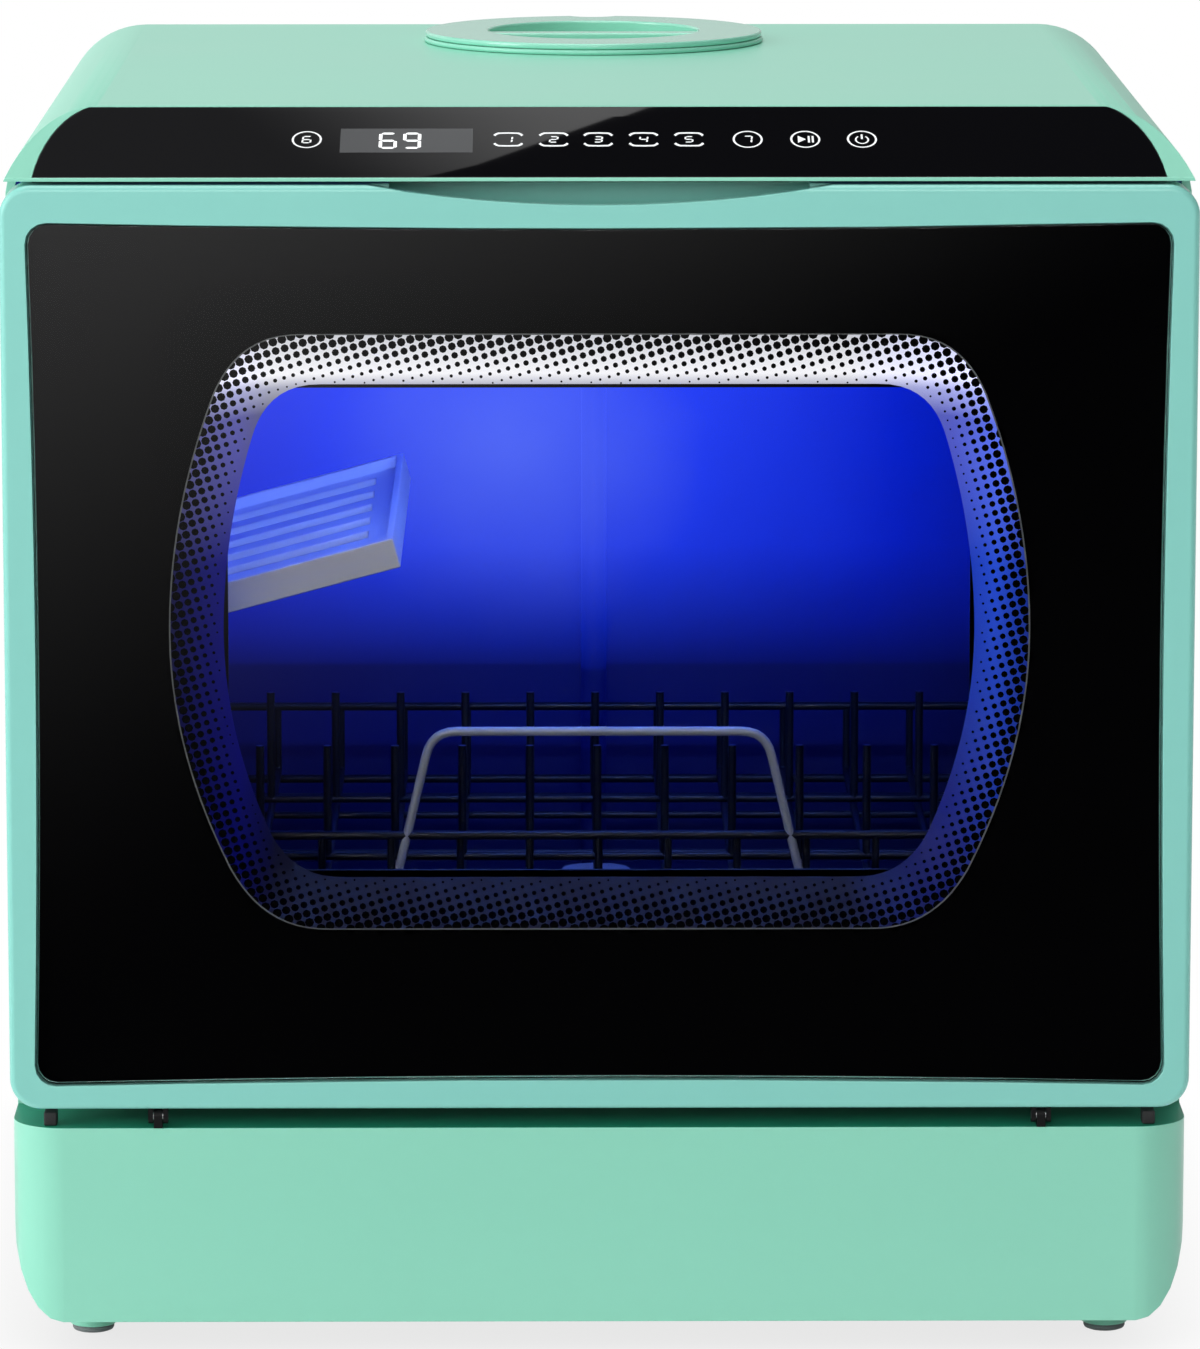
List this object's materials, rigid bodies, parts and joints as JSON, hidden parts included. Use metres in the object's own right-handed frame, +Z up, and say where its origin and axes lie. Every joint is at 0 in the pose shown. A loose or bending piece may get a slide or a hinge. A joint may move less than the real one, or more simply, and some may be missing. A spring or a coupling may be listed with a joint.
{
  "type": "countertop dishwasher",
  "caption": "Compact tabletop dishwasher with a drop-down window door, sloping touch strip, wire rack and a round filling port on top.",
  "frame": {"origin": "on the supporting surface, under the middle of the whole machine", "axes": "+Z up, the door faces -Y, +X to the right seen from the front"},
  "size_m": [0.42, 0.425, 0.4454],
  "materials": {
    "mint_plastic": "glossy moulded",
    "door_plastic": "glossy moulded",
    "black_plastic": "moulded",
    "rubber": "moulded",
    "panel_glass": "back-printed black",
    "door_glass": "black border round a clear window",
    "clear_glass": "clear",
    "blue_lens": "lit",
    "white_plastic": "moulded",
    "grey_plastic": "moulded",
    "hose_rubber": "ribbed",
    "hinge_steel": "black",
    "steel": "brushed",
    "tub_steel": "satin",
    "rack_wire": "plastic coated wire",
    "board": "circuit board"
  },
  "bodies": {
    "cabinet": {"outer_case": "mint_plastic", "back_cover": "mint_plastic", "cover_screws": "steel", "base_tray": "mint_plastic", "rubber_feet": "rubber", "door_bumpers": "rubber", "power_gland": "black_plastic", "control_panel": "panel_glass", "display_module": "white_plastic", "control_board": "board", "hinge_brackets": "hinge_steel", "door_lock": "black_plastic", "door_seal": "rubber", "tub": "tub_steel", "rack_rails": "white_plastic", "shelf_bracket": "white_plastic", "lower_arm_hub": "grey_plastic", "upper_arm_hub": "grey_plastic", "feed_pipe": "white_plastic", "light_lens": "blue_lens", "light_board": "board", "sump": "grey_plastic", "heater": "steel", "pump_housing": "grey_plastic", "pump_motor": "steel", "drain_pump": "grey_plastic", "drain_hose": "hose_rubber", "drain_port": "black_plastic", "inlet_valve": "white_plastic", "water_tank": "white_plastic", "fill_funnel": "mint_plastic", "fill_duct": "white_plastic", "float_post": "white_plastic", "fan_housing": "black_plastic", "fan_motor": "steel", "air_duct": "black_plastic", "power_board": "board"},
    "door": {"door_frame": "door_plastic", "door_glass": "door_glass", "door_liner": "white_plastic", "window_bezel": "white_plastic", "inner_window": "clear_glass", "window_gasket": "rubber", "door_clevises": "hinge_steel", "hinge_pins": "steel", "latch_tongue": "white_plastic", "detergent_cup": "white_plastic"},
    "soap_lid": {"detergent_lid": "steel"},
    "latch": {"latch_lever": "white_plastic"},
    "rack": {"rack_floor": "rack_wire", "rack_frame": "rack_wire", "rack_tines": "rack_wire"},
    "shelf": {"cup_shelf": "white_plastic"},
    "lower_arm": {"lower_spray_arm": "white_plastic"},
    "upper_arm": {"upper_spray_arm": "white_plastic"},
    "basket": {"filter_basket": "grey_plastic"},
    "impeller": {"pump_impeller": "white_plastic"},
    "float": {"level_float": "white_plastic"},
    "fan": {"fan_impeller": "black_plastic"},
    "lid": {"fill_lid": "mint_plastic"}
  },
  "joints": [
    {"name": "door_hinge", "type": "hinge", "parent": "cabinet", "child": "door", "pos_m": [0, -0.2086, 0.087], "axis": [1, 0, 0], "range_deg": [0, 90]},
    {"name": "rack_slide", "type": "slide", "parent": "cabinet", "child": "rack", "axis": [0, -1, 0], "range_m": [0, 0.0945]},
    {"name": "shelf_fold", "type": "hinge", "parent": "cabinet", "child": "shelf", "pos_m": [-0.163, -0.04, 0.256], "axis": [0, -1, 0], "range_deg": [0, 65]},
    {"name": "lower_arm_spin", "type": "hinge", "parent": "cabinet", "child": "lower_arm", "pos_m": [0, -0.017, 0.13], "axis": [0, 0, 1], "continuous": true},
    {"name": "upper_arm_spin", "type": "hinge", "parent": "cabinet", "child": "upper_arm", "pos_m": [0, -0.017, 0.387], "axis": [0, 0, 1], "continuous": true},
    {"name": "lid_lift", "type": "slide", "parent": "cabinet", "child": "lid", "axis": [0, 0, 1], "range_m": [0, 0.05]},
    {"name": "soap_lid_slide", "type": "slide", "parent": "door", "child": "soap_lid", "axis": [1, 0, 0], "range_m": [0, 0.06]},
    {"name": "latch_give", "type": "hinge", "parent": "cabinet", "child": "latch", "pos_m": [0, -0.1375, 0.4086], "axis": [1, 0, 0], "range_deg": [0, 8], "stiffness_Nm_per_rad": 0.02},
    {"name": "basket_turn", "type": "hinge", "parent": "cabinet", "child": "basket", "pos_m": [0, -0.092, 0.1], "axis": [0, 0, 1], "range_deg": [0, 45]},
    {"name": "pump_spin", "type": "hinge", "parent": "cabinet", "child": "impeller", "pos_m": [0.07, -0.092, 0.066], "axis": [1, 0, 0], "continuous": true},
    {"name": "fan_spin", "type": "hinge", "parent": "cabinet", "child": "fan", "pos_m": [0.138, 0.165, 0.345], "axis": [0, 1, 0], "continuous": true},
    {"name": "float_rise", "type": "slide", "parent": "cabinet", "child": "float", "axis": [0, 0, 1], "range_m": [0, 0.012]}
  ],
  "couplings": [
    {"joint": "rack_slide", "follows": "door_hinge", "m_per_rad": 0.06}
  ]
}
